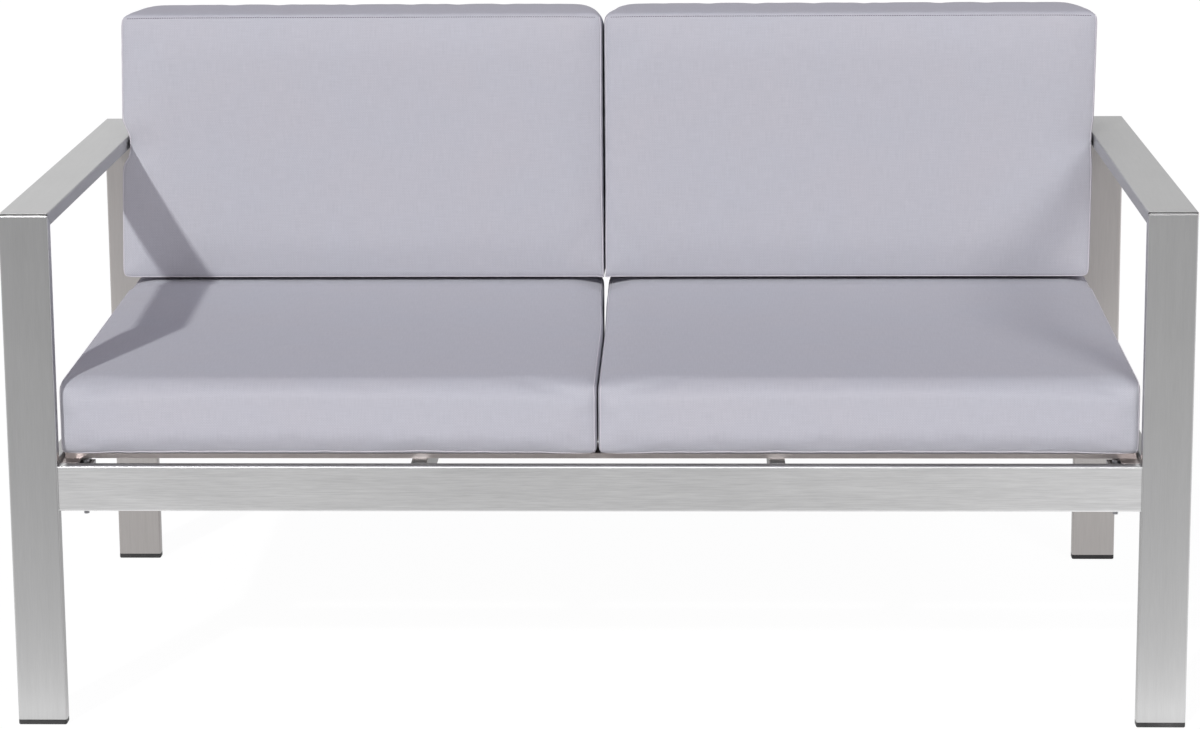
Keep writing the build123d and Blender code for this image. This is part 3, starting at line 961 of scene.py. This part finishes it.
    def lean_on_neighbours(self, obj: Object) -> None:
        """Flatten the cover softly where it reaches the faces of its own space.

        Args:
            obj: the cover.
        """
        soft = self.softness
        for vertex in obj.data.vertices:
            for axis in range(3):
                low, high = self.low_corner[axis], self.high_corner[axis]
                value = vertex.co[axis]
                for face, sign in ((low, -1.0), (high, 1.0)):
                    over = (value - face) * sign + soft
                    if over > 0:
                        value = face + sign * (soft * (1.0 - math.exp(-over / soft)) - soft)
                vertex.co[axis] = value
        obj.data.update()

    def settle(self, obj: Object) -> None:
        """Let the cover find its place between the pieces round it; a plain one stays."""

    def rolled(self, seam: list[int]) -> list[int]:
        """Choose the stretch of a seam that has a rolled edge: here, all of it."""
        return seam

    def lay_piping(self, label: str, path: list[Vector], closed: bool) -> None:
        """Lay a thin rolled edge along one path and hand it to the frame.

        Args:
            label: the edge's name.
            path: its points.
            closed: whether it returns to its start.
        """
        name = f"{self.name}_{label}_piping"
        sizes = {"Radius": self.piping_radius}
        piece = along_path(name, path, closed, self.sewing.piping, self.sewing.seam_highlight, sizes)
        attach(piece, self.name)

    def roll_seams(self, obj: Object) -> None:
        """Lay a thin rolled edge along both seams.

        Args:
            obj: the finished cover.
        """
        shape = evaluated(obj).to_mesh()
        for label, seam in (("near", self.near_seam), ("far", self.far_seam)):
            path = [shape.vertices[i].co.copy() for i in self.rolled(seam)]
            self.lay_piping(label, path, len(path) == len(seam))
        log.info("rolled the seams of %s", self.name)

    def trim(self, obj: Object) -> None:
        """Add what is sewn on the finished cover."""
        self.roll_seams(obj)

    def build(self) -> Object:
        """Make the cushion and hand it to the frame.

        Returns:
            The finished cushion.
        """
        obj = place_in_scene(self.name, self.sewn_mesh())
        obj.data.materials.append(self.sewing.cloth)
        self.blow_up(obj)
        self.lean_on_neighbours(obj)
        self.settle(obj)
        for polygon in obj.data.polygons:
            polygon.use_smooth = True
        smooth = obj.modifiers.new("finer", "SUBSURF")
        smooth.levels = 1
        smooth.render_levels = 1
        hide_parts(self.name + "_cover", self.name + "_foam")
        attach(obj, self.name)
        log.info("sewed %s", self.name)
        self.trim(obj)
        return obj


@dataclass
class SeatCushion(Cushion):
    """A seat cushion, whose cloth runs over a well rounded front edge."""

    parting: float = 2.1 * MM
    gap_offset: float = 5.5 * MM
    dip: float = 5.0 * MM
    dip_reach: float = 42.0 * MM
    pressed: float = 4.0 * MM
    front_drop: float = 16.0 * MM
    parting_ramp: Ramp = Ramp(2.0, 0.8)
    dip_ramp: Ramp = Ramp(3.0, 1.7)
    under_reach: float = 30.0 * MM
    behind_offset: float = 0.3

    def settle(self, obj: Object) -> None:
        """Part the two seat cushions at the back, sink their corners and slope their tops forwards.

        Args:
            obj: the cover.
        """
        outer_first = self.name.startswith("left")
        leaning_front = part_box(self.name.split("_")[0] + "_back_cushion_cover")[0][1]
        middle = (self.low_corner.z + self.high_corner.z) / 2
        for vertex in obj.data.vertices:
            x, y, z = vertex.co
            from_inner = self.high_corner.x - x if outer_first else x - self.low_corner.x
            back = (y - self.low_corner.y) / self.span.y
            inward = 1.0 - from_inner / self.span.x
            shift = -self.parting if outer_first else self.parting
            vertex.co.x += (shift - self.gap_offset) * self.parting_ramp.at(back) * inward
            near_side = ease(1.0 - from_inner / self.dip_reach)
            if z > middle:
                past_front = (y - leaning_front) / self.under_reach
                behind = ease(past_front - self.behind_offset)
                vertex.co.z -= self.dip * near_side * self.dip_ramp.at(back) * (1.0 - behind)
                vertex.co.z -= self.pressed * ease(past_front + 1.0)
                vertex.co.z -= self.front_drop * (1.0 - back) * (z - middle) / (self.span.z / 2)
        obj.data.update()

    def trim(self, obj: Object) -> None:
        """Add the rolled seams and the one along the lower front edge.

        Args:
            obj: the finished cover.
        """
        self.roll_seams(obj)
        shape = evaluated(obj).to_mesh()
        path = [shape.vertices[hoop[1]].co.copy() for hoop in self.hoops]
        self.lay_piping("front", path, False)


@dataclass(frozen=True)
class Lean:
    """How far a back cushion's sides stand to the right of its place, in metres, low and high."""

    inner_low: float
    inner_high: float
    outer_low: float
    outer_high: float


@dataclass
class BackCushion(Cushion):
    """A back cushion that stands on the seat, with a row of stitches under its top seam."""

    lean: Lean = Lean(0.0, 0.0, 0.0, 0.0)
    foot_ramp: Ramp = Ramp(-3.0, -1.0)
    arm_offset: float = 0.2
    leg_offset: float = 0.4
    arm_reach: float = 18.0 * MM
    sink: float = 3.6 * MM
    leg_reach: float = 24.0 * MM
    press: float = 2.0 * MM
    apart: float = 0.4 * MM
    stitch_drop: float = 0.3
    stitch_lift: float = 0.15 * MM

    def place_axes(self) -> None:
        """Turn the local axes to a cushion that stands against the back frame."""
        self.size_u, self.size_v, self.size_w = self.span.x, self.span.z, self.span.y
        middle = (self.low_corner + self.high_corner) / 2
        axes = Matrix(((1, 0, 0), (0, 0, -1), (0, 1, 0)))
        origin = Vector((middle.x, self.high_corner.y, middle.z))
        self.place = Matrix.Translation(origin) @ axes.to_4x4()

    def rolled(self, seam: list[int]) -> list[int]:
        """Leave the top edge plain, where the stitches are.

        Args:
            seam: the seam's vertices, from its lower left corner round to the right.

        Returns:
            The vertices of the two sides and the bottom, in order.
        """
        across = len(self.far_panel[0]) - 1
        up = len(self.far_panel) - 1
        left = 2 * across + up
        return seam[left:] + seam[: across + up + 1]

    def settle(self, obj: Object) -> None:
        """Let the sides bulge over and under the armrest, and stay clear of it and of the leg.

        Args:
            obj: the cover.
        """
        side = self.name.split("_")[0]
        (_, _, arm_low), (_, _, arm_high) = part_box(side + "_armrest")
        leg_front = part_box(side + "_rear_leg")[0][1]
        outer_first = side == "left"
        for vertex in obj.data.vertices:
            x, y, z = vertex.co
            across = (x - self.low_corner.x) / self.span.x
            if outer_first:
                across = 1.0 - across
            rise = (z - self.low_corner.z) / self.span.z
            clear = max(arm_low - z, z - arm_high, 0.0) / self.arm_reach
            ahead = 1.0 if z > arm_high else (leg_front - y) / self.leg_reach - self.leg_offset
            free = ease(clear - self.arm_offset) * ease(ahead)
            inner = self.lean.inner_low + (self.lean.inner_high - self.lean.inner_low) * rise
            outer = (self.lean.outer_low + (self.lean.outer_high - self.lean.outer_low) * rise) * free
            pressed = self.press * self.foot_ramp.at(rise)
            toward = pressed if outer_first else -pressed
            vertex.co.x += (inner + toward) * (1.0 - across) + outer * across
            if outer_first:
                vertex.co.x = min(vertex.co.x, self.high_corner.x + inner - self.apart)
            else:
                vertex.co.x = max(vertex.co.x, self.low_corner.x + inner + self.apart)
            vertex.co.z -= self.sink * self.foot_ramp.at(rise)
        self.square_corner(obj, len(self.far_panel[0]) - 1 if outer_first else 0)
        obj.data.update()

    def square_corner(self, obj: Object, corner: int) -> None:
        """Keep one lengthwise edge square, where the two back cushions press on each other.

        Args:
            obj: the cover.
            corner: the edge's place in each hoop.
        """
        kept = {hoop[corner] for hoop in self.hoops}
        edge_crease = obj.data.attributes.new("crease_edge", "FLOAT", "EDGE")
        for edge in obj.data.edges:
            edge_crease.data[edge.index].value = 1.0 if kept.issuperset(edge.vertices) else 0.0
        vertex_crease = obj.data.attributes.new("crease_vert", "FLOAT", "POINT")
        for hoop in (self.hoops[0], self.hoops[-1]):
            vertex_crease.data[hoop[corner]].value = 1.0

    def trim(self, obj: Object) -> None:
        """Add the rolled seams and the row of stitches.

        Args:
            obj: the finished cover.
        """
        self.roll_seams(obj)
        finished = evaluated(obj)
        shape = finished.to_mesh()
        surface = BVHTree.FromObject(finished, bpy.context.evaluated_depsgraph_get())
        path = []
        for edge, inner in zip(self.far_panel[-1][1:-1], self.far_panel[-2][1:-1]):
            place = shape.vertices[edge].co.lerp(shape.vertices[inner].co, self.stitch_drop)
            found, normal, _, _ = surface.find_nearest(place)
            path.append(found + normal * self.stitch_lift)
        name = self.name + "_stitches"
        piece = along_path(name, path, False, self.sewing.stitches, self.sewing.thread, {})
        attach(piece, self.name)
        log.info("stitched %s", self.name)


# Floor, lights and camera


@dataclass(frozen=True)
class Floor:
    """A pale floor that shows white, keeps the sofa's shadow and glows in the metal's gloss."""

    size: float = 40.0
    white_share: float = 0.92
    matt_tone: Colour = (0.9, 0.9, 0.9)
    seen_level: float = 1.05
    approach: Range = (-3.6, -0.9)
    approach_levels: Range = (0.4, 0.75)
    peak_offset: float = 0.4
    peak_level: float = 0.66
    rise_before: float = 4.5
    fall_behind: float = -9.0
    widest: float = 1.2
    spread: Range = (0.38, 0.7)
    slant: float = 0.07

    def glow(self, tree: Tree) -> NodeSocket:
        """Work out how bright the floor is in a reflection, by where the reflected ray meets it.

        Args:
            tree: the floor's tree.

        Returns:
            The brightness's socket.
        """
        apart = tree.add("ShaderNodeSeparateXYZ", Vector=tree.object_place())
        sideways, along = apart.outputs[0], apart.outputs[1]
        near = tree.remap(along, self.approach, self.approach_levels)
        outward = tree.maths("ADD", along, self.peak_offset)
        before = tree.maths("MULTIPLY", tree.maths("MINIMUM", outward, 0.0), self.rise_before)
        behind = tree.maths("MULTIPLY", tree.maths("MAXIMUM", outward, 0.0), self.fall_behind)
        close = tree.maths("EXPONENT", tree.maths("ADD", before, behind))
        level = tree.maths("MULTIPLY_ADD", close, self.peak_level, near)
        wide = tree.maths("MINIMUM", tree.maths("ABSOLUTE", sideways), self.widest)
        spread = tree.maths("MULTIPLY_ADD", wide, *self.spread)
        lopsided = tree.maths("MULTIPLY_ADD", sideways, self.slant, spread)
        return tree.maths("MULTIPLY", level, lopsided)

    def lay(self) -> None:
        """Lay the floor and give it its material."""
        half = self.size / 2
        mesh = bpy.data.meshes.new("floor")
        corners = [(-half, -half, 0), (half, -half, 0), (half, half, 0), (-half, half, 0)]
        mesh.from_pydata(corners, [], [(0, 1, 2, 3)])
        floor = place_in_scene("floor", mesh)
        material = bpy.data.materials.new("floor")
        tree = cleared_tree(material)
        rays = tree.add("ShaderNodeLightPath")
        glossy = rays.outputs["Is Glossy Ray"]
        seen = tree.maths("MAXIMUM", rays.outputs["Is Camera Ray"], glossy)
        seen = tree.maths("MAXIMUM", seen, rays.outputs["Is Transmission Ray"])
        level = tree.blend(glossy, self.seen_level, self.glow(tree), "FLOAT")
        matt = tree.add("ShaderNodeBsdfDiffuse", Color=toned(self.matt_tone))
        glow = tree.add("ShaderNodeEmission", Color=WHITE, Strength=level)
        mixed = tree.add("ShaderNodeMixShader")
        tree.fill(mixed.inputs[0], tree.maths("MULTIPLY", seen, self.white_share))
        tree.fill(mixed.inputs[1], matt.outputs[0])
        tree.fill(mixed.inputs[2], glow.outputs[0])
        tree.add("ShaderNodeOutputMaterial", Surface=mixed.outputs[0])
        mesh.materials.append(material)


@dataclass(frozen=True)
class Studio:
    """The lights, the sky, and the camera at the photograph's viewing angle."""

    camera_place: tuple[float, float, float] = (0.11989, -4.0352, 1.25548)
    yaw: float = 0.0312
    pitch: float = 0.1937
    roll: float = -0.0073
    focal_pixels: float = 3411.9
    centre_pixels: Range = (0.0, -100.0)
    picture_width: int = 1200
    sensor: float = 36.0
    key_travel: tuple[float, float, float] = (0.58, 1.47, -1.0)
    key_strength: float = 1.76
    key_softness: float = math.radians(2.0)
    fill_travel: tuple[float, float, float] = (-0.55, 1.2, -0.75)
    fill_strength: float = 0.75
    fill_softness: float = math.radians(17.0)
    sky_strength: float = 0.27
    sky_colour: tuple[float, float, float, float] = (1.04, 0.79, 0.82, 1.0)
    zenith_colour: tuple[float, float, float, float] = (0.88, 0.9, 1.26, 1.0)
    height_shares: Range = (1.15, 0.7)
    gloss_span: Range = (-0.9, 0.3)
    gloss_levels: Range = (0.35, 1.0)
    gloss_slant: Range = (-0.55, 0.9)
    farthest_view: float = 100.0

    def camera(self) -> None:
        """Set up the camera from the fitted view."""
        data = bpy.data.cameras.new("camera")
        data.sensor_width = self.sensor
        data.lens = self.focal_pixels / self.picture_width * self.sensor
        data.shift_x = -self.centre_pixels[0] / self.picture_width
        data.shift_y = self.centre_pixels[1] / self.picture_width
        data.clip_end = self.farthest_view
        turn_z = Matrix.Rotation(-self.yaw, 3, "Z")
        tilt = Matrix.Rotation(self.pitch, 3, "X")
        lean = Matrix.Rotation(self.roll, 3, "Y")
        seen = lean @ tilt @ turn_z
        right, forward, up = seen.row[0], seen.row[1], seen.row[2]
        turned = Matrix((right, up, -forward)).transposed()
        camera = place_in_scene("camera", data)
        camera.matrix_world = Matrix.Translation(self.camera_place) @ turned.to_4x4()
        bpy.context.scene.camera = camera

    def lights(self) -> None:
        """Add the key light and the soft fill."""
        for name, travel, strength, softness in (
            ("key", self.key_travel, self.key_strength, self.key_softness),
            ("fill", self.fill_travel, self.fill_strength, self.fill_softness),
        ):
            sun = bpy.data.lights.new(name, "SUN")
            sun.energy = strength
            sun.angle = softness
            lamp = place_in_scene(name, sun)
            lamp.matrix_world = Vector(travel).to_track_quat("-Z", "Y").to_matrix().to_4x4()

    def sky(self) -> None:
        """Put up a sky that lights from above, shows white, and darkens in the metal's gloss."""
        world = bpy.data.worlds.new("sky")
        bpy.context.scene.world = world
        tree = cleared_tree(world)
        rays = tree.add("ShaderNodeLightPath")
        glossy = rays.outputs["Is Glossy Ray"]
        seen = tree.maths("MAXIMUM", rays.outputs["Is Camera Ray"], rays.outputs["Is Transmission Ray"])
        direction = tree.add("ShaderNodeTexCoord").outputs["Generated"]
        apart = tree.add("ShaderNodeSeparateXYZ", Vector=direction)
        behind = tree.remap(apart.outputs[1], self.gloss_span, self.gloss_levels)
        sideways = tree.maths("MULTIPLY_ADD", apart.outputs[0], *self.gloss_slant)
        level, top = (share * self.sky_strength for share in self.height_shares)
        overhead = tree.remap(apart.outputs[2], target=(level, top))
        mirrored = tree.blend(glossy, overhead, tree.maths("MULTIPLY", behind, sideways), "FLOAT")
        strength = tree.blend(seen, mirrored, WHITE_STRENGTH, "FLOAT")
        sky_tint = tree.blend(apart.outputs[2], self.sky_colour, self.zenith_colour)
        tint = tree.blend(tree.maths("MAXIMUM", seen, glossy), sky_tint, WHITE)
        background = tree.add("ShaderNodeBackground", Color=tint, Strength=strength)
        tree.add("ShaderNodeOutputWorld", Surface=background.outputs[0])

    def set_up(self) -> None:
        """Build the whole studio."""
        self.camera()
        self.lights()
        self.sky()
        Floor().lay()
        bpy.context.scene.view_settings.view_transform = "Standard"


def main() -> None:
    """Dress the frame, sew the cushions and set up the studio."""
    logging.basicConfig(level=logging.INFO, format="%(name)s: %(message)s")
    effects = SharedEffects()
    Frame(effects).dress()
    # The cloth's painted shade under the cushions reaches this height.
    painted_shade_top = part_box("left_seat_cushion_cover")[0][2] + PAINTED_SHADE_REACH
    cloth = WovenCloth(
        "cushion_cloth", (0.56, 0.57, 0.617), (0.575, 0.57, 0.607), 650.0, 0.3, 0.15, painted_shade_top
    )
    sewing = Sewing(
        cloth.material(effects),
        # Painted highlight: the seams' rolled edges get a paler colour than the cloth, standing in for
        # the light they catch.
        MouldedPlastic("seam_roll_painted_highlight", (0.68, 0.66, 0.7), 0.7, 0.2).material(effects),
        MouldedPlastic("stitch_thread", (0.12, 0.1, 0.14), 0.6, 0.2).material(effects),
        piping_tree(),
        stitch_tree(),
    )
    seat_swell = Swell(5 * MM, 5 * MM, low=0.2 * MM, high=6 * MM, near=0.4 * MM, far=1.8 * MM)
    seat_corners = (20 * MM, 14 * MM, 20 * MM, 20 * MM)
    back_swell = Swell(0.8 * MM, 0.8 * MM, low=0.8 * MM, high=2 * MM, near=6 * MM, far=9 * MM)
    face_corners = {
        "left": (7 * MM, 2 * MM, 7 * MM, 7 * MM),
        "right": (2 * MM, 7 * MM, 7 * MM, 7 * MM),
    }
    rear_corners = {
        "left": (14 * MM, 3 * MM, 34 * MM, 34 * MM),
        "right": (3 * MM, 14 * MM, 34 * MM, 34 * MM),
    }
    leans = {
        "left": Lean(-6 * MM, -6 * MM, -14 * MM, -5 * MM),
        "right": Lean(-6 * MM, -6 * MM, 0 * MM, 4 * MM),
    }
    for side in ("left", "right"):
        if side == "right":
            seat_swell = replace(seat_swell, near=seat_swell.far, far=seat_swell.near)
        SeatCushion(
            side + "_seat_cushion",
            sewing,
            seat_swell,
            seat_corners,
            seat_corners,
            fullness=2.0,
            softness=0.6 * MM,
        ).build()
        BackCushion(
            side + "_back_cushion",
            sewing,
            back_swell,
            rear_corners[side],
            face_corners[side],
            corner_drop=1 * MM,
            near_drop=5 * MM,
            rest_depth=12 * MM,
            draw_in=0.8 * MM,
            lean=leans[side],
        ).build()
    Studio().set_up()


if __name__ == "__main__":
    main()
